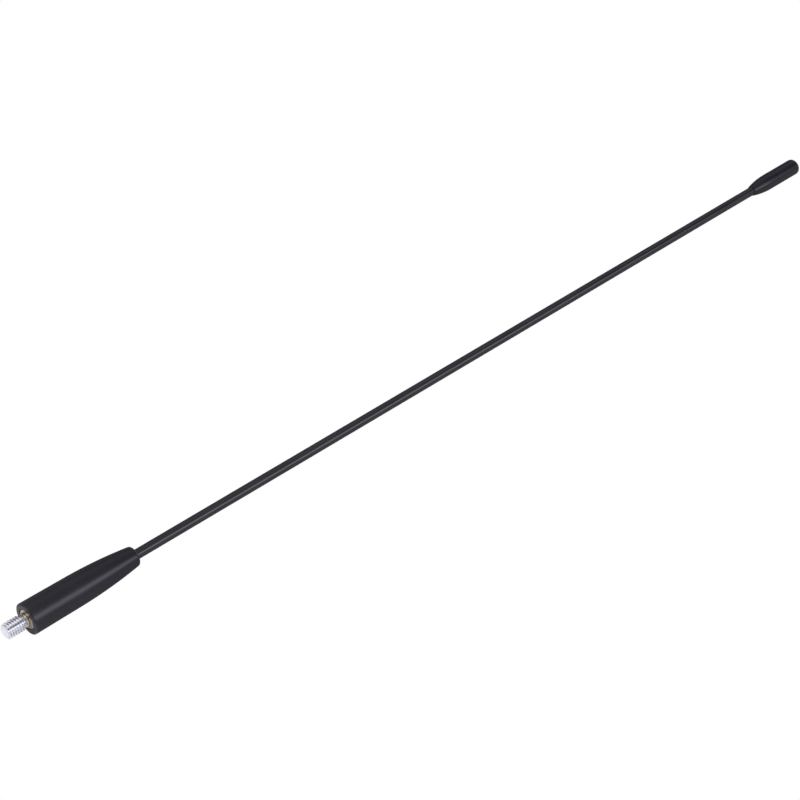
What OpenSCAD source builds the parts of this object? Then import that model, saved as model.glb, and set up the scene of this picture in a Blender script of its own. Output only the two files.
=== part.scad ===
// Screw-on mast aerial for a car roof: a threaded stud, a turned ferrule, a moulded boot,
// a straight rod and a moulded end cap, all on one axis.
// The origin lies on that axis in the plane of the boot's flat rim, which seats on the
// aerial's base. +Z runs along the mast, from the rim to the cap.

/* [Threaded stud] */
// Outer diameter of the thread
thread_d = 6; // [5.5:0.5:7]
// Length of the thread, end chamfer included
thread_l = 7; // [5:0.1:16]
// Bare neck between the seat plane and the thread
thread_gap = 2; // [1.8:0.1:4]
// Chamfer on the end of the thread
thread_chamfer = 0.6; // [0.2:0.05:1]
// Diameter of the neck and of the shank pressed into the ferrule
shank_d = 4.8; // [4:0.1:5.2]
// Depth of the shank's end behind the seat plane
shank_depth = 9; // [6:0.5:11]

/* [Ferrule] */
// Outer diameter of the ferrule
ferrule_d = 7.8; // [7.2:0.1:8.6]
// How far the ferrule's face lies behind the seat plane
face_recess = 0.15; // [0:0.05:0.3]
// Wall of the boss around the stud
boss_wall = 0.3; // [0.25:0.05:0.8]
// Height of the boss above the ferrule's face
boss_h = 1.1; // [0.4:0.1:1.6]
// Chamfer on the ferrule's outer edges, and half of it on the boss
ferrule_chamfer = 0.2; // [0.05:0.05:0.3]
// Solid wall between the shank's hole and the rod's socket
ferrule_web = 2; // [1:0.5:3]
// Depth of the socket for the rod
socket_depth = 14; // [10:0.5:16]
// Number of keying grooves turned in the ferrule
groove_count = 3; // [1:1:4]
// Width of each keying groove
groove_w = 1.6; // [1:0.1:2.4]
// Depth of each keying groove
groove_depth = 0.5; // [0.2:0.1:0.6]
// Distance from one keying groove to the next
groove_pitch = 4.5; // [3.5:0.1:5]

/* [Boot] */
// Diameter of the boot at the seat plane, before its rim is rounded
boot_d = 12.2; // [11.6:0.1:16]
// Height of the boot
boot_h = 46.5; // [36:0.1:70]
// Height of the drafted side, where the curve to the nose begins
side_h = 19.5; // [10:0.5:26]
// Draft of the side in degrees
draft = 0.55; // [0.25:0.05:1.5]
// Diameter at the nose, before its shoulder is rounded
nose_d = 7.6; // [6.6:0.1:9]
// Radius of the rim's rounding
rim_fillet = 0.45; // [0.3:0.05:1.2]
// Radius of the nose's rounding
nose_fillet = 0.9; // [0.3:0.05:1.2]

/* [Rod] */
// Diameter of the rod
rod_d = 3.8; // [3:0.1:4.6]
// Length of rod that shows between the boot and the cap
rod_show = 341.5; // [150:0.5:800]
// Chamfer on the rod's hidden ends
rod_chamfer = 0.3; // [0.1:0.05:0.6]

/* [Cap] */
// Diameter of the cap
cap_d = 7.1; // [6:0.1:9]
// Length of the cap
cap_l = 30.2; // [22:0.1:45]
// Length of the curved neck, from the mouth to the straight side
cap_neck_l = 11.1; // [6:0.1:16]
// Width of the step from the rod's surface to the cap's mouth
cap_step = 0.3; // [0.2:0.05:0.6]
// Radius of the mouth's rounding
mouth_fillet = 0.15; // [0.05:0.05:0.15]
// Radius of the rounding at the cap's end
cap_fillet = 1.5; // [0.5:0.1:2.4]
// Radius of the shallow dome over the cap's end
dome_r = 8; // [6:0.5:20]
// Depth of the blind hole for the rod
cap_bore_l = 15; // [8:0.5:18]

/* [Fits] */
// Clearance all round between a piece and the hole that it is bonded or pressed into
fit_gap = 0.05; // [0.02:0.01:0.08]

/* [Hidden] */
// Facets round a full turn
round_fn = 96;
// Steps along a small rounding and along a long curve
fillet_steps = 8;
curve_steps = 28;

thread_r = thread_d / 2;
shank_r = shank_d / 2;
ferrule_r = ferrule_d / 2;
boss_r = shank_r + boss_wall;
boot_r = boot_d / 2;
nose_r = nose_d / 2;
rod_r = rod_d / 2;
cap_r = cap_d / 2;
socket_r = rod_r + fit_gap;

// Places along the axis
socket_z = shank_depth + ferrule_web;
ferrule_top = socket_z + socket_depth;
groove_z = socket_z - groove_w;
cap_z = boot_h + rod_show;
rod_top = cap_z + cap_bore_l;

// Points along an arc about [x, y], from angle a0 to angle a1
function arc(centre, radius, a0, a1, steps) =
    [for (i = [0:steps])
        let (a = a0 + (a1 - a0) * i / steps)
        centre + radius * [cos(a), sin(a)]];

// Rim rounding of the boot: its circle touches the seat plane and the drafted side
rim_centre = [boot_r - rim_fillet * tan(draft) - rim_fillet / cos(draft), rim_fillet];

// Long curve of the boot: tangent to the drafted side at side_h, it meets the nose at boot_h
side_end = [boot_r - side_h * tan(draft), side_h];
chord = [nose_r, boot_h] - side_end;
flank_r = (chord * chord) / (2 * (chord * [-cos(draft), -sin(draft)]));
flank_centre = side_end - flank_r * [cos(draft), sin(draft)];

// Nose rounding: its circle touches the long curve from inside and the end plane
nose_y = boot_h - nose_fillet;
nose_reach = sqrt(pow(flank_r - nose_fillet, 2) - pow(nose_y - flank_centre.y, 2));
nose_centre = [flank_centre.x + nose_reach, nose_y];
nose_angle = atan2(nose_y - flank_centre.y, nose_reach);

// Neck curve of the cap: it leaves the mouth at its lip and is tangent to the straight side
lip_r = rod_r + cap_step;
neck_drop = cap_r - lip_r;
neck_r = (cap_neck_l * cap_neck_l + neck_drop * neck_drop) / (2 * neck_drop);
neck_centre = [cap_r - neck_r, cap_neck_l];
mouth_reach = sqrt(pow(neck_r - mouth_fillet, 2) - pow(cap_neck_l - mouth_fillet, 2));
mouth_centre = [neck_centre.x + mouth_reach, mouth_fillet];
mouth_angle = -atan2(cap_neck_l - mouth_fillet, mouth_reach);

// End of the cap: its rounding touches the straight side and the dome
dome_centre = [0, cap_l - dome_r];
end_reach = sqrt(pow(dome_r - cap_fillet, 2) - pow(cap_r - cap_fillet, 2));
end_centre = [cap_r - cap_fillet, dome_centre.y + end_reach];
end_angle = atan2(end_reach, cap_r - cap_fillet);

// Stud: chamfered thread at full diameter, bare neck, then the shank down to its seat
module threaded_stud() {
    color("#d4d5da") {
        translate([0, 0, -thread_gap - thread_l])
            cylinder(h = thread_chamfer, r1 = thread_r - thread_chamfer, r2 = thread_r, $fn = round_fn);
        translate([0, 0, thread_chamfer - thread_gap - thread_l])
            cylinder(h = thread_l - thread_chamfer, r = thread_r, $fn = round_fn);
        translate([0, 0, -thread_gap])
            cylinder(h = thread_gap + shank_depth, r = shank_r, $fn = round_fn);
    }
}

// Outline of the turned ferrule with its boss, grooves left out
module ferrule_outline() {
    boss_front = face_recess - boss_h;
    boss_chamfer = ferrule_chamfer / 2;
    polygon([
        [0, boss_front],
        [boss_r - boss_chamfer, boss_front],
        [boss_r, boss_front + boss_chamfer],
        [boss_r, face_recess],
        [ferrule_r - ferrule_chamfer, face_recess],
        [ferrule_r, face_recess + ferrule_chamfer],
        [ferrule_r, ferrule_top - ferrule_chamfer],
        [ferrule_r - ferrule_chamfer, ferrule_top],
        [0, ferrule_top],
    ]);
}

// Rings at the places of the keying grooves, from inner_r to outer_r, each made thinner by ease
module keying_rings(inner_r, outer_r, ease) {
    for (i = [0:groove_count - 1])
        translate([0, 0, groove_z - groove_pitch * (i - (groove_count - 1) / 2) + ease])
            difference() {
                cylinder(h = groove_w - 2 * ease, r = outer_r, $fn = round_fn);
                translate([0, 0, -1])
                    cylinder(h = groove_w + 2, r = inner_r, $fn = round_fn);
            }
}

// Ferrule: takes the stud's shank from below and the rod from above
module rod_ferrule() {
    color("#b08d57")
    difference() {
        rotate_extrude($fn = round_fn)
            ferrule_outline();
        translate([0, 0, -boss_h - 1])
            cylinder(h = shank_depth + boss_h + 1, r = shank_r + fit_gap, $fn = round_fn);
        translate([0, 0, socket_z])
            cylinder(h = socket_depth + 1, r = socket_r, $fn = round_fn);
        keying_rings(ferrule_r - groove_depth, ferrule_r + 1, 0);
    }
}

// Boot: rounded rim, drafted side, long tangent curve and rounded nose, with a stepped bore
module base_boot() {
    color("#2d2c33") {
        difference() {
            rotate_extrude($fn = round_fn)
                polygon(concat(
                    [[0, 0]],
                    arc(rim_centre, rim_fillet, -90, draft, fillet_steps),
                    arc(flank_centre, flank_r, draft, nose_angle, curve_steps),
                    arc(nose_centre, nose_fillet, nose_angle, 90, fillet_steps),
                    [[0, boot_h]]));
            translate([0, 0, -1])
                cylinder(h = ferrule_top + 1, r = ferrule_r + fit_gap, $fn = round_fn);
            cylinder(h = boot_h + 1, r = socket_r, $fn = round_fn);
        }
        keying_rings(ferrule_r - groove_depth + fit_gap, ferrule_r + 2 * fit_gap, fit_gap);
    }
}

// Rod: one straight bar from the ferrule's socket to the end of the cap's hole
module mast_rod() {
    tip_r = rod_r - rod_chamfer;
    color("#2b2b30")
    rotate_extrude($fn = round_fn)
        polygon([
            [0, socket_z],
            [tip_r, socket_z],
            [rod_r, socket_z + rod_chamfer],
            [rod_r, rod_top - rod_chamfer],
            [tip_r, rod_top],
            [0, rod_top],
        ]);
}

// Cap: small mouth, curved neck, straight side and a gently domed end, over a blind hole
module tip_cap() {
    color("#2e2e34")
    translate([0, 0, cap_z])
        difference() {
            rotate_extrude($fn = round_fn)
                polygon(concat(
                    [[0, 0]],
                    arc(mouth_centre, mouth_fillet, -90, mouth_angle, fillet_steps),
                    arc(neck_centre, neck_r, mouth_angle, 0, curve_steps),
                    arc(end_centre, cap_fillet, 0, end_angle, fillet_steps),
                    arc(dome_centre, dome_r, end_angle, 90, fillet_steps)));
            translate([0, 0, -1])
                cylinder(h = cap_bore_l + 1, r = socket_r, $fn = round_fn);
        }
}

threaded_stud();
rod_ferrule();
base_boot();
mast_rod();
tip_cap();
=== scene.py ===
"""Dresses a screw-on car mast aerial for its portrait.

Sizes are written in millimetres and become metres in the meshes, whose frame is the model's own:
the origin lies on the mast's axis in the plane of the boot's flat rim, and +Z runs up the mast.
Every piece is round about Z, so each is drawn as half of its section and turned.
"""

import logging
import math
from dataclasses import dataclass, field
from enum import Enum

import bmesh
import bpy
from mathutils import Matrix, Vector


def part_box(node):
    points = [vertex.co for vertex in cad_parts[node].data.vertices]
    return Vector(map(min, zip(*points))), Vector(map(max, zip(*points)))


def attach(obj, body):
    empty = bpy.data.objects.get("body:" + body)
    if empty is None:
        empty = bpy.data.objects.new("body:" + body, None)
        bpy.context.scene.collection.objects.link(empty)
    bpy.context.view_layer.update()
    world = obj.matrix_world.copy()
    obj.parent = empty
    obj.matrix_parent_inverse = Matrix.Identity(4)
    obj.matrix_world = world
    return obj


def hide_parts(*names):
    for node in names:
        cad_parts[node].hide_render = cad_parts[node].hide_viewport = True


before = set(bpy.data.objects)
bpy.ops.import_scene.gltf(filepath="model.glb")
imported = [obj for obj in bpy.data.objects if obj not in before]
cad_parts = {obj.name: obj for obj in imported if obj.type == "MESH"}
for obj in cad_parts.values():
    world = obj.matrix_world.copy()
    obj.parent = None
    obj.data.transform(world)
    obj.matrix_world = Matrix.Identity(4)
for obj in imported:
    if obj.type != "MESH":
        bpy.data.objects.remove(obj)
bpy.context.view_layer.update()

MM = 0.001
ROOT = "root"
UP = (0, 0, 1)
# Steps round a full turn of a turned or moulded piece
ROUND_STEPS = 128
# Corners blunter than this are shaded as one smooth surface
SMOOTH_ANGLE = math.radians(28)
# Points closer than this are one point
WELD = 0.0005 * MM

log = logging.getLogger("mast_aerial")


def linear(code: str) -> tuple[float, float, float, float]:
    """Turns a colour's sRGB hex code into linear light.

    Args:
        code: colour as six hex digits after a hash.

    Returns:
        Red, green, blue and an alpha of 1.
    """
    parts = [int(code[i:i + 2], 16) / 255 for i in (1, 3, 5)]
    light = [c / 12.92 if c <= 0.04045 else ((c + 0.055) / 1.055) ** 2.4 for c in parts]
    return (*light, 1.0)


def add_node(
    tree: bpy.types.NodeTree,
    kind: str,
    settings: dict | None = None,
    links: dict | None = None,
) -> bpy.types.Node:
    """Adds a shader node with its settings and links.

    Args:
        tree: node tree that takes the node.
        kind: type of the node.
        settings: values by the name of a property, or by the name or number of an input.
        links: output sockets by the name or number of the input that each one feeds.

    Returns:
        The new node.
    """
    node = tree.nodes.new(kind)
    for name, value in (settings or {}).items():
        if isinstance(name, str) and hasattr(node, name):
            setattr(node, name, value)
        else:
            node.inputs[name].default_value = value
    for name, source in (links or {}).items():
        tree.links.new(source, node.inputs[name])
    return node


def largest(tree: bpy.types.NodeTree, *values: bpy.types.NodeSocket) -> bpy.types.NodeSocket:
    """Gives the largest of several values.

    Args:
        tree: node tree that holds the values.
        values: values to choose from.

    Returns:
        The largest value.
    """
    most = values[0]
    for value in values[1:]:
        links = {0: most, 1: value}
        most = add_node(tree, "ShaderNodeMath", {"operation": "MAXIMUM"}, links).outputs[0]
    return most


def stage_material(name: str) -> bpy.types.Material:
    """Starts a material of the studio, whose glow is seen but lights nothing by itself.

    Args:
        name: name of the material.

    Returns:
        The material, with an empty node tree.
    """
    material = bpy.data.materials.new(name)
    material.use_nodes = True
    material.node_tree.nodes.clear()
    material.cycles.emission_sampling = "NONE"
    return material


def settle(name: str, mesh: bmesh.types.BMesh, material: bpy.types.Material) -> bpy.types.Object:
    """Turns a drawn mesh into an object at the origin.

    Args:
        name: name of the object.
        mesh: drawn mesh, which is used up.
        material: the object's material.

    Returns:
        The object, in the scene.
    """
    data = bpy.data.meshes.new(name)
    mesh.to_mesh(data)
    mesh.free()
    data.materials.append(material)
    item = bpy.data.objects.new(name, data)
    bpy.context.scene.collection.objects.link(item)
    return item


def at(radius: float, height: float) -> Vector:
    """Gives a point of the section plane in metres, from its radius and height in millimetres."""
    return Vector((radius, 0, height)) * MM


def span(node: str) -> tuple[float, float]:
    """Gives the lowest and highest height of a solid of the frame, in millimetres."""
    low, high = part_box(node)
    return low.z / MM, high.z / MM


def close_up(mesh: bmesh.types.BMesh) -> bmesh.types.BMesh:
    """Welds a turned mesh along its seams and poles, and points its faces outwards.

    Args:
        mesh: mesh to close.

    Returns:
        The same mesh.
    """
    bmesh.ops.remove_doubles(mesh, verts=mesh.verts, dist=WELD)
    bmesh.ops.dissolve_degenerate(mesh, edges=mesh.edges, dist=WELD)
    bmesh.ops.recalc_face_normals(mesh, faces=mesh.faces)
    return mesh


class Lathe:
    """Draws half of a section with one moving point, then turns it about the mast's axis."""

    def __init__(self, radius: float, height: float) -> None:
        """Sets the pen down.

        Args:
            radius: distance of the first point from the axis, in millimetres.
            height: height of the first point, in millimetres.
        """
        self.mesh = bmesh.new()
        self.tip = bmesh.ops.create_vert(self.mesh, co=at(radius, height))["vert"][0]

    def line(self, radius: float, height: float, parts: int = 1) -> "Lathe":
        """Draws a straight line to a point.

        Args:
            radius: distance of the point from the axis, in millimetres.
            height: height of the point, in millimetres.
            parts: number of equal edges that the line is made of.

        Returns:
            The same pen, so that strokes can follow each other.
        """
        start = self.tip.co.copy()
        for i in range(1, parts + 1):
            self.tip = bmesh.ops.extrude_vert_indiv(self.mesh, verts=[self.tip])["verts"][0]
            self.tip.co = start.lerp(at(radius, height), i / parts)
        return self

    def arc(self, centre: tuple[float, float], turn: float, steps: int) -> "Lathe":
        """Draws an arc from where the pen is.

        Args:
            centre: radius and height of the arc's centre, in millimetres.
            turn: angle of the arc in degrees, positive from the radius towards +Z.
            steps: number of edges along the arc.

        Returns:
            The same pen.
        """
        drawn = bmesh.ops.spin(
            self.mesh, geom=[self.tip], cent=at(*centre), axis=(0, -1, 0), dvec=(0, 0, 0),
            angle=math.radians(turn), steps=steps, use_merge=False, use_duplicate=False,
        )
        self.tip = next(v for v in drawn["geom_last"] if isinstance(v, bmesh.types.BMVert))
        return self

    def turn(self) -> bmesh.types.BMesh:
        """Turns the section once round the axis.

        Returns:
            The closed mesh.
        """
        bmesh.ops.spin(
            self.mesh, geom=self.mesh.verts[:] + self.mesh.edges[:], cent=(0, 0, 0), axis=UP,
            dvec=(0, 0, 0), angle=math.tau, steps=ROUND_STEPS, use_merge=True,
            use_duplicate=False,
        )
        return close_up(self.mesh)

    def wind(self, pitch: float, turns: int, steps: int) -> bmesh.types.BMesh:
        """Winds the section up the axis as a right-handed helix.

        Args:
            pitch: rise of each turn, in millimetres.
            turns: number of turns.
            steps: steps round each turn.

        Returns:
            The helical surface, open at both ends.
        """
        bmesh.ops.spin(
            self.mesh, geom=self.mesh.verts[:] + self.mesh.edges[:], cent=(0, 0, 0), axis=UP,
            dvec=(0, 0, pitch * MM / steps), angle=math.tau * turns, steps=steps * turns,
            use_merge=False, use_duplicate=False,
        )
        return close_up(self.mesh)


class SurfacePaint:
    """A material under construction: one Principled shader that patterns in object space feed."""

    def __init__(self, name: str, constants: dict) -> None:
        """Starts a material.

        Args:
            name: the finish's name.
            constants: values for the shader's own sockets, by name.
        """
        self.material = bpy.data.materials.new(name)
        self.material.use_nodes = True
        self.tree = self.material.node_tree
        self.shader = self.tree.nodes["Principled BSDF"]
        for socket, value in constants.items():
            self.shader.inputs[socket].default_value = value
        self.place = add_node(self.tree, "ShaderNodeTexCoord").outputs["Object"]

    def feed(self, socket: str, source: bpy.types.NodeSocket) -> None:
        """Links a pattern to one of the shader's sockets."""
        self.tree.links.new(source, self.shader.inputs[socket])

    def stretched(self, along: float) -> bpy.types.NodeSocket:
        """Shrinks the height of the place, so that a pattern is drawn out along the mast.

        Args:
            along: how many times longer than wide the pattern becomes.

        Returns:
            The coordinates for the pattern.
        """
        scale = (1, 1, 1 / along)
        mapping = add_node(self.tree, "ShaderNodeMapping", {"Scale": scale}, {"Vector": self.place})
        return mapping.outputs["Vector"]

    def grain(
        self,
        size: float,
        place: bpy.types.NodeSocket | None = None,
        detail: float = 2.0,
    ) -> bpy.types.NodeSocket:
        """Adds an even random pattern.

        Args:
            size: size of one blotch or grain, in millimetres.
            place: coordinates that the pattern reads, the object's own if left out.
            detail: number of finer octaves.

        Returns:
            The pattern's value, from 0 to 1 round a mean of a half.
        """
        settings = {"Scale": 1 / (size * MM), "Detail": detail, "Roughness": 0.55}
        links = {"Vector": place or self.place}
        return add_node(self.tree, "ShaderNodeTexNoise", settings, links).outputs["Fac"]

    def rings(self, spacing: float, wander: float) -> bpy.types.NodeSocket:
        """Adds rings about the mast's axis, as a lathe tool leaves them.

        Args:
            spacing: distance from one ring to the next, in millimetres.
            wander: how unevenly the rings run.

        Returns:
            The pattern's value, from 0 to 1.
        """
        # The Wave texture makes a ring for each tau / 20 of its scaled radius
        settings = {
            "wave_type": "RINGS", "rings_direction": "Z", "wave_profile": "SIN",
            "Scale": math.tau / (20 * spacing * MM), "Distortion": wander,
            "Detail": 2.0, "Detail Scale": 1.5,
        }
        links = {"Vector": self.place}
        return add_node(self.tree, "ShaderNodeTexWave", settings, links).outputs["Fac"]

    def from_axis(self) -> bpy.types.NodeSocket:
        """Measures how far a point lies from the mast's axis.

        Returns:
            The distance, in metres.
        """
        settings = {"operation": "MULTIPLY", 1: (1, 1, 0)}
        flat = add_node(self.tree, "ShaderNodeVectorMath", settings, {0: self.place}).outputs[0]
        length = add_node(self.tree, "ShaderNodeVectorMath", {"operation": "LENGTH"}, {0: flat})
        return length.outputs["Value"]

    def height(self) -> bpy.types.NodeSocket:
        """Gives the height of a point, in metres."""
        return add_node(self.tree, "ShaderNodeSeparateXYZ", {}, {0: self.place}).outputs["Z"]

    def between(
        self,
        value: bpy.types.NodeSocket,
        low: float = 0.0,
        high: float = 1.0,
        start: float = 0.3,
        end: float = 0.7,
    ) -> bpy.types.NodeSocket:
        """Maps a range of a pattern, by default its middle, to a range of plain numbers.

        Args:
            value: pattern to map.
            low: number at the start of the range.
            high: number at the end of the range.
            start: the pattern's value where the range starts.
            end: the pattern's value where the range ends.

        Returns:
            The mapped value.
        """
        settings = {"From Min": start, "From Max": end, "To Min": low, "To Max": high}
        return add_node(self.tree, "ShaderNodeMapRange", settings, {"Value": value}).outputs["Result"]

    def blend(
        self, share: bpy.types.NodeSocket, low: str, high: str | bpy.types.NodeSocket
    ) -> bpy.types.NodeSocket:
        """Blends two colours.

        Args:
            share: share of the second colour.
            low: hex code of the first colour.
            high: hex code of the second colour, or a colour that is blended already.

        Returns:
            The blended colour.
        """
        settings = {"data_type": "RGBA", 6: linear(low)}
        links = {0: share}
        if isinstance(high, str):
            settings[7] = linear(high)
        else:
            links[7] = high
        return add_node(self.tree, "ShaderNodeMix", settings, links).outputs[2]

    def relief(self, height: bpy.types.NodeSocket, depth: float) -> bpy.types.NodeSocket:
        """Adds a fine relief to the surface.

        Args:
            height: pattern that the relief follows.
            depth: depth of the relief, in millimetres.

        Returns:
            The normal that the relief gives.
        """
        settings = {"Strength": 1.0, "Distance": depth * MM}
        return add_node(self.tree, "ShaderNodeBump", settings, {"Height": height}).outputs["Normal"]


@dataclass(frozen=True)
class NickelPlatedSteel:
    """Bright nickel on a rolled thread: a pale mirror, hazed by its rolling, with painted shade greying
    its grooves.
    """

    name: str = "nickel_plated_steel"
    bright: str = "#e8e8f1"
    hazed: str = "#d9d9e3"
    haze: float = 2.2
    # Roughness where the plating is hazed and where it is bright
    roughness: tuple[float, float] = (0.2, 0.13)
    # Painted shade greys the thread's grooves: it fades out between these radii, at the neck and at the
    # flat end
    groove_shade: str = "#cdcdd5"
    groove: tuple[float, float] = (2.5, 2.92)
    neck: tuple[float, float] = (-2.1, -2.0)
    end: tuple[float, float] = (-8.9, -8.98)
    tool_mark: float = 0.16
    tool_wander: float = 1.2
    mark_depth: float = 0.004

    def material(self) -> bpy.types.Material:
        """Makes the material.

        Returns:
            A metal with faint rings from facing and rolling, patches of haze and painted shade in its
            grooves.
        """
        paint = SurfacePaint(self.name, {"Metallic": 1.0})
        patches = paint.grain(self.haze)
        plated = paint.blend(paint.between(patches), self.hazed, self.bright)
        height = paint.height()
        limits = ((paint.from_axis(), self.groove), (height, self.neck), (height, self.end))
        edges = [
            paint.between(place, start=start * MM, end=end * MM) for place, (start, end) in limits
        ]
        # Painted shade greys the grooves; the crests, the neck and the flat end keep the plating's own
        # colour
        paint.feed("Base Color", paint.blend(largest(paint.tree, *edges), self.groove_shade, plated))
        paint.feed("Roughness", paint.between(patches, *self.roughness))
        rings = paint.rings(self.tool_mark, self.tool_wander)
        paint.feed("Normal", paint.relief(rings, self.mark_depth))
        return paint.material


@dataclass(frozen=True)
class TurnedBrass:
    """Bare free-cutting brass off the lathe: ring marks, and a brown bloom where it has dulled."""

    name: str = "turned_brass"
    clean: str = "#dbd1c4"
    dulled: str = "#ab9d8c"
    bloom: float = 1.4
    bloom_detail: float = 3.0
    # Roughness where the brass has dulled and where it is clean
    roughness: tuple[float, float] = (0.3, 0.18)
    tool_mark: float = 0.22
    tool_wander: float = 0.8
    mark_depth: float = 0.008

    def material(self) -> bpy.types.Material:
        """Makes the material.

        Returns:
            A warm metal with the rings that a lathe tool leaves and soft dull patches.
        """
        paint = SurfacePaint(self.name, {"Metallic": 1.0})
        patches = paint.grain(self.bloom, detail=self.bloom_detail)
        paint.feed("Base Color", paint.blend(paint.between(patches), self.dulled, self.clean))
        paint.feed("Roughness", paint.between(patches, *self.roughness))
        rings = paint.rings(self.tool_mark, self.tool_wander)
        paint.feed("Normal", paint.relief(rings, self.mark_depth))
        return paint.material


@dataclass(frozen=True)
class MouldedNylon:
    """Black glass-filled nylon from an etched mould: satin, with a fine grain in its highlight."""

    name: str = "moulded_black"
    deep: str = "#0f0e1b"
    pale: str = "#141321"
    flow: float = 9.0
    ior: float = 1.5
    # The etched grain is about 0.1 mm on the real piece, and drawn coarser so that it shows
    grain: float = 0.26
    grain_detail: float = 3.0
    grain_depth: float = 0.022
    # Roughness at the bottom and at the top of the grain
    roughness: tuple[float, float] = (0.27, 0.38)

    def material(self) -> bpy.types.Material:
        """Makes the material.

        Returns:
            A satin black plastic with flow patches and an etched grain.
        """
        paint = SurfacePaint(self.name, {"IOR": self.ior})
        patches = paint.grain(self.flow)
        paint.feed("Base Color", paint.blend(paint.between(patches), self.deep, self.pale))
        grain = paint.grain(self.grain, detail=self.grain_detail)
        paint.feed("Roughness", paint.between(grain, *self.roughness))
        paint.feed("Normal", paint.relief(grain, self.grain_depth))
        return paint.material


@dataclass(frozen=True)
class CoatedSteelRod:
    """Steel rod under a baked black coat: smoother than the mouldings, with slow waves along it."""

    name: str = "coated_rod_black"
    deep: str = "#16151e"
    pale: str = "#212029"
    ior: float = 1.57
    streak: float = 1.2
    streak_length: float = 14.0
    # Roughness in the deep streaks and in the pale ones
    roughness: tuple[float, float] = (0.23, 0.29)
    ripple: float = 0.9
    ripple_length: float = 3.6
    ripple_depth: float = 0.004

    def material(self) -> bpy.types.Material:
        """Makes the material.

        Returns:
            A satin black coat with streaks drawn out along the rod and a faint ripple.
        """
        paint = SurfacePaint(self.name, {"IOR": self.ior})
        streaks = paint.grain(self.streak, paint.stretched(self.streak_length / self.streak))
        paint.feed("Base Color", paint.blend(paint.between(streaks), self.deep, self.pale))
        paint.feed("Roughness", paint.between(streaks, *self.roughness))
        ripple = paint.grain(self.ripple, paint.stretched(self.ripple_length / self.ripple))
        paint.feed("Normal", paint.relief(ripple, self.ripple_depth))
        return paint.material


Finish = NickelPlatedSteel | TurnedBrass | MouldedNylon | CoatedSteelRod


@dataclass
class Piece:
    """One physical piece of the aerial, which takes the place of its solid in the frame."""

    name: str
    node: str
    finish: Finish

    def shape(self) -> bmesh.types.BMesh:
        """Makes the piece's mesh, which each kind of piece does in its own way."""
        raise NotImplementedError

    def build(self) -> bpy.types.Object:
        """Shapes the piece, dresses it and seats it on its body.

        Returns:
            The finished piece.
        """
        mesh = self.shape()
        for face in mesh.faces:
            face.smooth = True
        for edge in mesh.edges:
            edge.smooth = edge.calc_face_angle(0.0) < SMOOTH_ANGLE
        piece = settle(self.name, mesh, self.finish.material())
        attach(piece, ROOT)
        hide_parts(self.node)
        heights = [vert.co.z / MM for vert in piece.data.vertices]
        faces = len(piece.data.polygons)
        log.info("%s: %d faces, z %.1f to %.1f mm", self.name, faces, min(heights), max(heights))
        return piece


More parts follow.
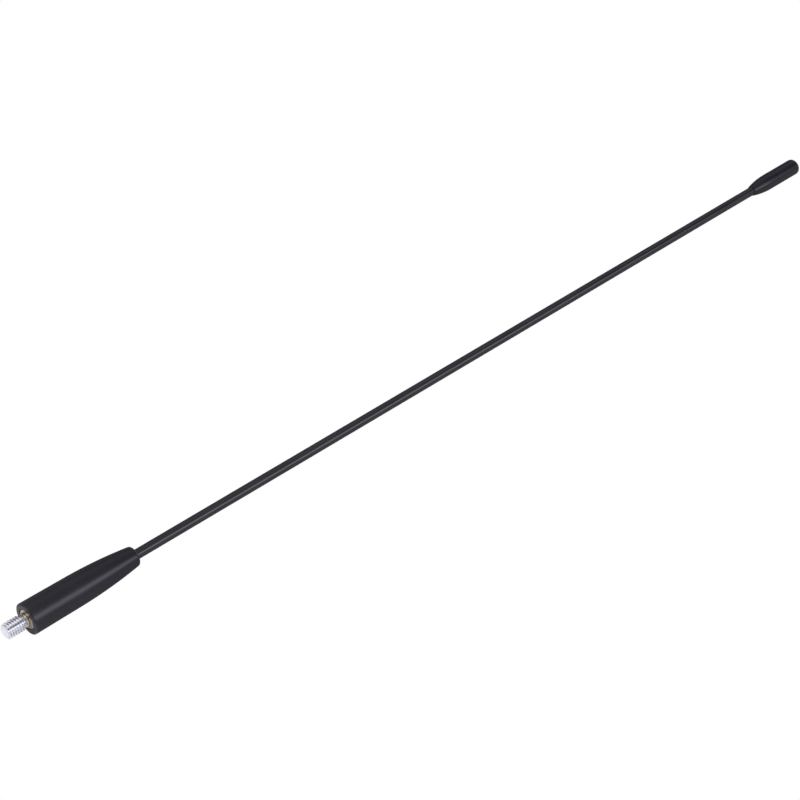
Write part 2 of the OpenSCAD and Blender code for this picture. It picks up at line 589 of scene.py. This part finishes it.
@dataclass
class ThreadedStud(Piece):
    """M6 x 1 stud: rolled right-hand thread, bare neck, and the shank inside the ferrule."""

    name: str = "stud_threaded"
    node: str = "threaded_stud"
    finish: Finish = field(default_factory=NickelPlatedSteel)
    pitch: float = 1.0
    major_r: float = 2.985
    minor_r: float = 2.387
    root_rounding: float = 0.144
    crest_rounding: float = 0.06
    half_angle: float = 30.0
    # Height of the thread's top, where the bare neck begins
    thread_top: float = -2.0
    shank_r: float = 2.4
    shank_chamfer: float = 0.2
    # Height at which a groove's middle crosses +X, just below the stud
    first_groove: float = -10.929
    # Depth of the small cone from the thread's top down to the neck's surface
    run_out: float = 0.05
    # Edges along a flank and along a rounding of the thread's section, and steps round a turn
    flank_parts: int = 4
    rounding_steps: int = 3
    turn_steps: int = 72

    def winding(self) -> bmesh.types.BMesh:
        """Draws the section of one turn, from groove to groove, and winds it up the stud.

        Returns:
            The thread's surface, longer than the stud at both ends.
        """
        slope = math.tan(math.radians(self.half_angle))
        sweep = 90 - self.half_angle
        root_centre = self.minor_r + self.root_rounding
        root_edge = self.root_rounding * math.sin(math.radians(sweep))
        root_edge_r = root_centre - self.root_rounding * math.cos(math.radians(sweep))
        flank = (self.major_r - root_edge_r) * slope
        corner = self.crest_rounding * math.tan(math.radians(sweep / 2))
        crest_r = self.major_r - self.crest_rounding
        crest_edge = root_edge + flank + corner
        low = self.first_groove
        high = low + self.pitch
        before = corner * math.cos(math.radians(self.half_angle))
        flank_end_r = self.major_r - before
        flank_end = root_edge + flank - before * slope
        pen = Lathe(self.minor_r, low)
        pen.arc((root_centre, low), -sweep, self.rounding_steps)
        pen.line(flank_end_r, low + flank_end, self.flank_parts)
        pen.arc((crest_r, low + crest_edge), sweep, self.rounding_steps)
        pen.line(self.major_r, high - crest_edge)
        pen.arc((crest_r, high - crest_edge), sweep, self.rounding_steps)
        pen.line(root_edge_r, high - root_edge, self.flank_parts)
        pen.arc((root_centre, high), -sweep, self.rounding_steps)
        turns = math.ceil((self.thread_top - low) / self.pitch) + 1
        return pen.wind(self.pitch, turns, self.turn_steps)

    def ring_at(self, mesh: bmesh.types.BMesh, height: float) -> list[bmesh.types.BMEdge]:
        """Finds the open edges that lie at a height.

        Args:
            mesh: mesh to search.
            height: height of the edges, in millimetres.

        Returns:
            The open edges there.
        """
        return [
            edge for edge in mesh.edges
            if edge.is_boundary and all(abs(v.co.z - height * MM) < 2 * WELD for v in edge.verts)
        ]

    def carry_on(
        self, mesh: bmesh.types.BMesh, ring: list[bmesh.types.BMEdge], radius: float, height: float
    ) -> list[bmesh.types.BMEdge]:
        """Extrudes an open ring to a circle.

        Args:
            mesh: mesh that holds the ring.
            ring: open edges to extrude.
            radius: radius of the circle, in millimetres.
            height: height of the circle, in millimetres.

        Returns:
            The new open edges.
        """
        made = bmesh.ops.extrude_edge_only(mesh, edges=ring)["geom"]
        for vert in (item for item in made if isinstance(item, bmesh.types.BMVert)):
            flat = vert.co.xy.normalized() * radius * MM
            vert.co = (flat.x, flat.y, height * MM)
        return [item for item in made if isinstance(item, bmesh.types.BMEdge) and item.is_boundary]

    def shape(self) -> bmesh.types.BMesh:
        """Makes the stud.

        Returns:
            The closed mesh.
        """
        bottom, top = span(self.node)
        mesh = self.winding()
        for height, ends in ((bottom, {"clear_inner": True}), (self.thread_top, {"clear_outer": True})):
            geom = mesh.verts[:] + mesh.edges[:] + mesh.faces[:]
            bmesh.ops.bisect_plane(
                mesh, geom=geom, dist=WELD, plane_co=at(0, height), plane_no=UP, **ends
            )
        # Both ends of the thread are cut back to a cone of 45 degrees
        for vert in mesh.verts:
            height = vert.co.z / MM
            room = self.shank_r + min(height - bottom, self.thread_top - height)
            limit = max(room, self.shank_r) * MM
            if vert.co.xy.length > limit:
                vert.co.xy = vert.co.xy.normalized() * limit
        face_ring = self.ring_at(mesh, bottom)
        for vert in {v for edge in face_ring for v in edge.verts}:
            vert.co.z = bottom * MM
        neck_ring = self.ring_at(mesh, self.thread_top)
        bmesh.ops.edgeloop_fill(mesh, edges=face_ring)
        ring = self.carry_on(mesh, neck_ring, self.shank_r, self.thread_top + self.run_out)
        ring = self.carry_on(mesh, ring, self.shank_r, top - self.shank_chamfer)
        ring = self.carry_on(mesh, ring, self.shank_r - self.shank_chamfer, top)
        bmesh.ops.edgeloop_fill(mesh, edges=ring)
        return close_up(mesh)


@dataclass
class TurnedFerrule(Piece):
    """Brass ferrule: a raised boss round the stud, keying grooves, and the rod's socket."""

    name: str = "ferrule_turned"
    node: str = "rod_ferrule"
    finish: Finish = field(default_factory=TurnedBrass)
    outer_r: float = 3.9
    boss_r: float = 2.7
    hole_r: float = 2.45
    hole_end: float = 9.0
    socket_r: float = 1.95
    socket_end: float = 11.0
    face: float = 0.15
    chamfer: float = 0.2
    boss_edge: float = 0.2
    hole_edge: float = 0.04
    grooves: tuple[float, ...] = (4.9, 9.4, 13.9)
    groove_width: float = 1.6
    groove_depth: float = 0.5

    def shape(self) -> bmesh.types.BMesh:
        """Makes the ferrule.

        Returns:
            The closed mesh.
        """
        front, back = span(self.node)
        pen = Lathe(0, self.hole_end)
        pen.line(self.hole_r, self.hole_end)
        pen.line(self.hole_r, front + self.hole_edge)
        pen.line(self.hole_r + self.hole_edge, front)
        pen.line(self.boss_r - self.boss_edge, front)
        pen.arc((self.boss_r - self.boss_edge, front + self.boss_edge), 90, steps=4)
        pen.line(self.boss_r, self.face)
        pen.line(self.outer_r - self.chamfer, self.face)
        pen.line(self.outer_r, self.face + self.chamfer)
        for groove in self.grooves:
            pen.line(self.outer_r, groove)
            pen.line(self.outer_r - self.groove_depth, groove)
            pen.line(self.outer_r - self.groove_depth, groove + self.groove_width)
            pen.line(self.outer_r, groove + self.groove_width)
        pen.line(self.outer_r, back - self.chamfer)
        pen.line(self.outer_r - self.chamfer, back)
        pen.line(self.socket_r, back)
        pen.line(self.socket_r, self.socket_end)
        pen.line(0, self.socket_end)
        return pen.turn()


@dataclass
class MouldedBoot(Piece):
    """Boot moulded over the ferrule: rounded rim, drafted side, long curve and rounded nose."""

    name: str = "boot_moulded"
    node: str = "base_boot"
    finish: Finish = field(default_factory=MouldedNylon)
    # Kept 0.005 mm inside the solid, whose round has fewer facets
    rim_r: float = 6.095
    side_end: float = 19.5
    draft: float = 0.55
    nose_r: float = 3.8
    rim_rounding: float = 0.45
    nose_rounding: float = 0.9
    bore_r: float = 3.95
    bore_end: float = 25.0
    bore_edge: float = 0.12
    rod_hole_r: float = 1.95
    mouth_edge: float = 0.1

    def shape(self) -> bmesh.types.BMesh:
        """Makes the boot.

        Returns:
            The closed mesh.
        """
        bottom, top = span(self.node)
        lean = math.radians(self.draft)
        rim = (
            self.rim_r - self.rim_rounding * (math.tan(lean) + 1 / math.cos(lean)),
            bottom + self.rim_rounding,
        )
        # The long curve leaves the drafted side at side_end and would meet the nose's radius at the top
        start = Vector((self.rim_r - self.side_end * math.tan(lean), self.side_end))
        chord = Vector((self.nose_r, top)) - start
        inward = Vector((-math.cos(lean), -math.sin(lean)))
        flank_r = chord.length_squared / (2 * chord.dot(inward))
        flank = start + inward * flank_r
        # The nose's circle touches the long curve from inside and the flat top
        rise = top - self.nose_rounding - flank.y
        reach = math.sqrt((flank_r - self.nose_rounding) ** 2 - rise ** 2)
        nose = (flank.x + reach, top - self.nose_rounding)
        nose_angle = math.degrees(math.atan2(rise, reach))
        pen = Lathe(self.bore_r, self.bore_end)
        pen.line(self.bore_r, bottom + self.bore_edge)
        pen.line(self.bore_r + self.bore_edge, bottom)
        pen.line(rim[0], bottom)
        pen.arc(rim, 90 + self.draft, steps=10)
        pen.line(start.x, start.y, parts=4)
        pen.arc(tuple(flank), nose_angle - self.draft, steps=40)
        pen.arc(nose, 90 - nose_angle, steps=10)
        pen.line(self.rod_hole_r + self.mouth_edge, top)
        pen.line(self.rod_hole_r, top - self.mouth_edge)
        pen.line(self.rod_hole_r, self.bore_end)
        pen.line(self.bore_r, self.bore_end)
        return pen.turn()


@dataclass
class CoatedRod(Piece):
    """The mast itself: one straight rod from the ferrule's socket to the cap's blind hole."""

    name: str = "rod_coated"
    node: str = "mast_rod"
    finish: Finish = field(default_factory=CoatedSteelRod)
    radius: float = 1.9
    chamfer: float = 0.3
    # Number of lengths that the side is divided into, so that its faces aren't slivers
    lengths: int = 80

    def shape(self) -> bmesh.types.BMesh:
        """Makes the rod.

        Returns:
            The closed mesh.
        """
        low, high = span(self.node)
        pen = Lathe(0, low)
        pen.line(self.radius - self.chamfer, low)
        pen.line(self.radius, low + self.chamfer)
        pen.line(self.radius, high - self.chamfer, self.lengths)
        pen.line(self.radius - self.chamfer, high)
        pen.line(0, high)
        return pen.turn()


@dataclass
class MouldedCap(Piece):
    """Cap bonded on the rod's end: small mouth, curved neck, straight side and domed end."""

    name: str = "cap_moulded"
    node: str = "tip_cap"
    finish: Finish = field(default_factory=MouldedNylon)
    radius: float = 3.55
    neck_length: float = 11.1
    lip_r: float = 2.2
    mouth_rounding: float = 0.15
    end_rounding: float = 1.5
    dome_r: float = 8.0
    hole_r: float = 1.95
    hole_depth: float = 15.0

    def shape(self) -> bmesh.types.BMesh:
        """Makes the cap.

        Returns:
            The closed mesh.
        """
        mouth, top = span(self.node)
        # The neck's curve leaves the lip and runs tangent into the straight side
        drop = self.radius - self.lip_r
        neck_r = (self.neck_length ** 2 + drop ** 2) / (2 * drop)
        neck = (self.radius - neck_r, mouth + self.neck_length)
        below = self.neck_length - self.mouth_rounding
        reach = math.sqrt((neck_r - self.mouth_rounding) ** 2 - below ** 2)
        lip = (neck[0] + reach, mouth + self.mouth_rounding)
        lip_angle = math.degrees(math.atan2(below, reach))
        # The end's rounding touches the straight side and the shallow dome
        dome = (0, top - self.dome_r)
        shoulder_r = self.radius - self.end_rounding
        rise = math.sqrt((self.dome_r - self.end_rounding) ** 2 - shoulder_r ** 2)
        shoulder = (shoulder_r, dome[1] + rise)
        shoulder_angle = math.degrees(math.atan2(rise, shoulder_r))
        pen = Lathe(0, mouth + self.hole_depth)
        pen.line(self.hole_r, mouth + self.hole_depth)
        pen.line(self.hole_r, mouth)
        pen.line(lip[0], mouth)
        pen.arc(lip, 90 - lip_angle, steps=4)
        pen.arc(neck, lip_angle, steps=32)
        pen.line(self.radius, shoulder[1], parts=3)
        pen.arc(shoulder, shoulder_angle, steps=12)
        pen.arc(dome, 90 - shoulder_angle, steps=8)
        return pen.turn()


class Ray(Enum):
    """A kind of ray that the studio answers in a way of its own, by its name in the Light Path."""

    CAMERA = "Is Camera Ray"
    GLOSSY = "Is Glossy Ray"
    TRANSMISSION = "Is Transmission Ray"


@dataclass(frozen=True)
class Softbox:
    """A rectangular lamp that stands upright beside the mast and faces it."""

    name: str = "key"
    # Direction in which it stands, from -Y towards +X, and how far off and how high
    azimuth: float = 20.5
    distance: float = 1500.0
    height: float = 920.0
    width: float = 662.0
    length: float = 1440.0
    radiance: float = 2.6
    tint: str = "#f6f5ff"

    def build(self) -> bpy.types.Object:
        """Makes the lamp.

        Returns:
            The lamp, which lights and is reflected, and isn't seen itself.
        """
        lamp = bpy.data.lights.new(self.name, "AREA")
        lamp.shape = "RECTANGLE"
        lamp.size = self.width * MM
        lamp.size_y = self.length * MM
        # A flat lamp gives out pi times its radiance from each unit of its area
        lamp.energy = self.radiance * math.pi * lamp.size * lamp.size_y
        lamp.color = linear(self.tint)[:3]
        stand = bpy.data.objects.new(self.name, lamp)
        bpy.context.scene.collection.objects.link(stand)
        turn = math.radians(self.azimuth)
        place = Vector((math.sin(turn), -math.cos(turn), 0)) * self.distance
        place.z = self.height
        aim = Vector((0, 0, self.height)) - place
        stand.matrix_world = (
            Matrix.Translation(place * MM) @ aim.to_track_quat("-Z", "Y").to_matrix().to_4x4()
        )
        stand.visible_camera = False
        log.info("lamp %s at azimuth %.1f degrees", self.name, self.azimuth)
        return stand


@dataclass(frozen=True)
class Curtain:
    """A cloth that hangs round the mast from one azimuth to another, and only shows in reflections."""

    name: str
    start: float
    end: float
    # Tone below and, where it is another, above
    tone: float
    top_tone: float | None = None
    radius: float = 1600.0
    base: float = 417.0
    top: float = 3770.0
    # Heights between which the tone passes from the lower one to the upper one
    fade_start: float = 1290.0
    fade_end: float = 1720.0
    steps: int = 24

    def build(self) -> bpy.types.Object:
        """Hangs the curtain.

        Returns:
            The curtain, a stretch of upright cylinder.
        """
        turn = math.radians(self.start - 90)
        mesh = bmesh.new()
        for height in (self.base, self.top):
            place = at(self.radius, height)
            place.rotate(Matrix.Rotation(turn, 3, "Z"))
            bmesh.ops.create_vert(mesh, co=place)
        edge = bmesh.ops.contextual_create(mesh, geom=mesh.verts[:])["edges"]
        bmesh.ops.spin(
            mesh, geom=mesh.verts[:] + edge, cent=(0, 0, 0), axis=UP, dvec=(0, 0, 0),
            angle=math.radians(self.end - self.start), steps=self.steps, use_merge=False,
            use_duplicate=False,
        )
        curtain = settle(self.name, mesh, self.cloth())
        for ray in ("camera", "diffuse", "transmission", "shadow", "volume_scatter"):
            setattr(curtain, f"visible_{ray}", False)
        return curtain

    def cloth(self) -> bpy.types.Material:
        """Makes the cloth, which glows at the tone that it is seen with.

        Returns:
            The material.
        """
        material = stage_material(self.name)
        tree = material.node_tree
        place = add_node(tree, "ShaderNodeTexCoord").outputs["Object"]
        height = add_node(tree, "ShaderNodeSeparateXYZ", {}, {0: place}).outputs["Z"]
        limits = {
            "From Min": self.fade_start * MM, "From Max": self.fade_end * MM,
            "To Min": self.tone, "To Max": self.tone if self.top_tone is None else self.top_tone,
        }
        tone = add_node(tree, "ShaderNodeMapRange", limits, {"Value": height}).outputs["Result"]
        glow = add_node(tree, "ShaderNodeEmission", {}, {"Strength": tone})
        add_node(tree, "ShaderNodeOutputMaterial", {}, {"Surface": glow.outputs[0]})
        return material


@dataclass(frozen=True)
class Card(Curtain):
    """A small bent card close round the stud, for the light and dark sides of its thread."""

    radius: float = 8.0
    base: float = -8.8
    top: float = -0.4


@dataclass(frozen=True)
class Pool:
    """A painted pool of light on the floor's glow, seen only in reflections, spreading over the floor
    from beside the mast.
    """

    azimuth: float
    # Angle from the pool's middle to its side, and the distance at which it begins
    spread: float
    inner: float
    tone: float
    edge: float = 7.0

    def added(
        self,
        tree: bpy.types.NodeTree,
        place: bpy.types.NodeSocket,
        away: bpy.types.NodeSocket,
        tone: bpy.types.NodeSocket,
    ) -> bpy.types.NodeSocket:
        """Adds the painted pool of light to the floor's glow.

        Args:
            tree: node tree of the floor's material.
            place: place on the floor.
            away: distance of the place from the mast.
            tone: the floor's tone without the pool.

        Returns:
            The floor's tone with the pool.
        """
        turn = math.radians(self.azimuth)
        flat = add_node(tree, "ShaderNodeVectorMath", {"operation": "NORMALIZE"}, {0: place})
        settings = {"operation": "DOT_PRODUCT", 1: (math.sin(turn), -math.cos(turn), 0)}
        facing = add_node(tree, "ShaderNodeVectorMath", settings, {0: flat.outputs[0]})
        limits = {
            "interpolation_type": "SMOOTHSTEP", "To Max": self.tone,
            "From Min": math.cos(math.radians(self.spread + self.edge)),
            "From Max": math.cos(math.radians(self.spread - self.edge)),
        }
        side = add_node(tree, "ShaderNodeMapRange", limits, {"Value": facing.outputs["Value"]})
        reach = {"From Min": self.inner * MM, "From Max": 2 * self.inner * MM}
        start = add_node(tree, "ShaderNodeMapRange", reach, {"Value": away})
        links = {0: side.outputs["Result"], 1: start.outputs["Result"], 2: tone}
        return add_node(tree, "ShaderNodeMath", {"operation": "MULTIPLY_ADD"}, links).outputs[0]


@dataclass(frozen=True)
class Studio:
    """Pale floor under the stud, white surroundings and soft lamps."""

    floor_gap: float = 0.1
    floor_radius: float = 9000.0
    floor_sides: int = 64
    floor_tone: str = "#f2f2f2"
    # Where the floor begins to pass into the white backdrop, and where it has
    fade_start: float = 450.0
    fade_end: float = 1300.0
    ambient: float = 0.9
    # Glow of the floor in reflections, painted brighter beside the stud and darker further off
    near_tone: float = 1.0
    far_tone: float = 0.3
    near_reach: float = 10.0
    far_reach: float = 20.0
    # Painted pools of light on the floor's glow in reflections
    pools: tuple[Pool, ...] = (
        Pool(20.5, 13.0, 20.0, 1.6), Pool(206.0, 28.0, 10.0, 0.55), Pool(208.0, 11.0, 60.0, 1.2),
    )
    lamps: tuple[Softbox, ...] = (Softbox(),)
    curtains: tuple[Curtain, ...] = (
        Curtain("curtain_front", -50.0, 48.0, 0.35, 0.05),
        Curtain("curtain_left", -82.0, -50.0, 0.5, 0.42),
        Curtain("curtain_left_back", -130.0, -82.0, 0.22, 0.16),
        Curtain("curtain_right", 48.0, 100.0, 0.48, 0.42),
        Curtain("curtain_right_back", 100.0, 135.0, 0.26, 0.22),
        Curtain("curtain_back", 135.0, 230.0, 0.12, 0.1),
        Card("card_left", -62.0, -28.0, 1.6),
        Card("card_middle", -13.0, -3.0, 0.24),
        Card("card_right", 34.0, 62.0, 1.35),
        Card("card_right_back", 62.0, 130.0, 0.85, top=-0.5),
        Card("card_left_back", -135.0, -76.0, 0.3, top=-0.5),
        Card("card_boss", 4.0, 32.0, 0.15, base=0.1, top=0.8),
    )

    def floor(self) -> bpy.types.Object:
        """Lays the floor.

        Returns:
            The floor, a disc under the stud's end.
        """
        bottom, _ = span(ThreadedStud.node)
        mesh = bmesh.new()
        bmesh.ops.create_circle(
            mesh, cap_ends=True, segments=self.floor_sides, radius=self.floor_radius * MM,
            matrix=Matrix.Translation(at(0, bottom - self.floor_gap)),
        )
        floor = settle("floor", mesh, self.floor_paint())
        return floor

    def floor_paint(self) -> bpy.types.Material:
        """Makes the floor's material.

        Returns:
            A pale matt surface that takes shadows, passes into white far off, and is seen only
            from above, so that a camera below it sees the white surroundings. To reflections it
            shows a painted glow instead, brighter beside the stud and in painted pools of light.
        """
        material = stage_material("floor")
        tree = material.node_tree
        matt = add_node(tree, "ShaderNodeBsdfDiffuse", {"Color": linear(self.floor_tone)})
        white = add_node(tree, "ShaderNodeEmission")
        clear = add_node(tree, "ShaderNodeBsdfTransparent")
        place = add_node(tree, "ShaderNodeTexCoord").outputs["Object"]
        away = add_node(tree, "ShaderNodeVectorMath", {"operation": "LENGTH"}, {0: place})
        away = away.outputs["Value"]
        limits = {
            "interpolation_type": "SMOOTHSTEP",
            "From Min": self.fade_start * MM, "From Max": self.fade_end * MM,
        }
        fade = add_node(tree, "ShaderNodeMapRange", limits, {"Value": away})
        reach = {
            "From Min": self.near_reach * MM, "From Max": self.far_reach * MM,
            "To Min": self.near_tone, "To Max": self.far_tone,
        }
        tone = add_node(tree, "ShaderNodeMapRange", reach, {"Value": away}).outputs["Result"]
        for pool in self.pools:
            tone = pool.added(tree, place, away, tone)
        # Painted light: the floor's glow that only reflections see, brighter near the stud and in the
        # pools
        painted_sheen = add_node(tree, "ShaderNodeEmission", {}, {"Strength": tone})
        ray = add_node(tree, "ShaderNodeLightPath").outputs
        seen = add_node(
            tree, "ShaderNodeMixShader", {},
            {0: fade.outputs["Result"], 1: matt.outputs[0], 2: white.outputs[0]},
        )
        top = add_node(
            tree, "ShaderNodeMixShader", {},
            {0: ray[Ray.GLOSSY.value], 1: seen.outputs[0], 2: painted_sheen.outputs[0]},
        )
        under = add_node(tree, "ShaderNodeNewGeometry").outputs["Backfacing"]
        whole = add_node(
            tree, "ShaderNodeMixShader", {}, {0: under, 1: top.outputs[0], 2: clear.outputs[0]}
        )
        add_node(tree, "ShaderNodeOutputMaterial", {}, {"Surface": whole.outputs[0]})
        return material

    def surroundings(self) -> None:
        """Sets the world: white to the eye and in reflections, and a plain soft light elsewhere."""
        world = bpy.data.worlds.new("surroundings")
        bpy.context.scene.world = world
        world.use_nodes = True
        world.cycles.sampling_method = "NONE"
        tree = world.node_tree
        rays = add_node(tree, "ShaderNodeLightPath").outputs
        seen = largest(tree, *(rays[kind.value] for kind in Ray))
        strength = add_node(
            tree, "ShaderNodeMapRange", {"To Min": self.ambient, "To Max": 1.0}, {"Value": seen}
        )
        tree.links.new(strength.outputs[0], tree.nodes["Background"].inputs["Strength"])
        tree.nodes["Background"].inputs["Color"].default_value = linear("#ffffff")

    def build(self) -> None:
        """Sets up the whole studio."""
        self.surroundings()
        self.floor()
        for fitting in (*self.lamps, *self.curtains):
            fitting.build()


@dataclass(frozen=True)
class PhotoCamera:
    """The photograph's view: from below the stud's end, looking up along the mast."""

    lens: float = 93.6
    sensor: float = 36.0
    # Angle by which the view rises towards +Z, and the camera's roll about its view
    tilt: float = 32.0
    roll: float = 59.406
    # Point that lies in the middle of the picture, and the camera's distance from it
    aim: tuple[float, float, float] = (0.397, 0.0, 175.18)
    distance: float = 805.6

    def build(self) -> bpy.types.Object:
        """Makes the camera.

        Returns:
            The camera, set as the scene's own.
        """
        data = bpy.data.cameras.new("photo_camera")
        data.lens = self.lens
        data.sensor_width = self.sensor
        camera = bpy.data.objects.new("photo_camera", data)
        bpy.context.scene.collection.objects.link(camera)
        turn = (
            Matrix.Rotation(math.radians(90 + self.tilt), 4, "X")
            @ Matrix.Rotation(math.radians(self.roll), 4, "Z")
        )
        back = turn.to_3x3() @ Vector(UP)
        place = (Vector(self.aim) + back * self.distance) * MM
        camera.matrix_world = Matrix.Translation(place) @ turn
        bpy.context.scene.camera = camera
        return camera


def main() -> None:
    """Builds the aerial, its studio and its camera."""
    logging.basicConfig(level=logging.INFO, format="%(name)s: %(message)s")
    bpy.context.scene.view_settings.view_transform = "Standard"
    PhotoCamera().build()
    for piece in (ThreadedStud(), TurnedFerrule(), MouldedBoot(), CoatedRod(), MouldedCap()):
        piece.build()
    Studio().build()


if __name__ == "__main__":
    main()
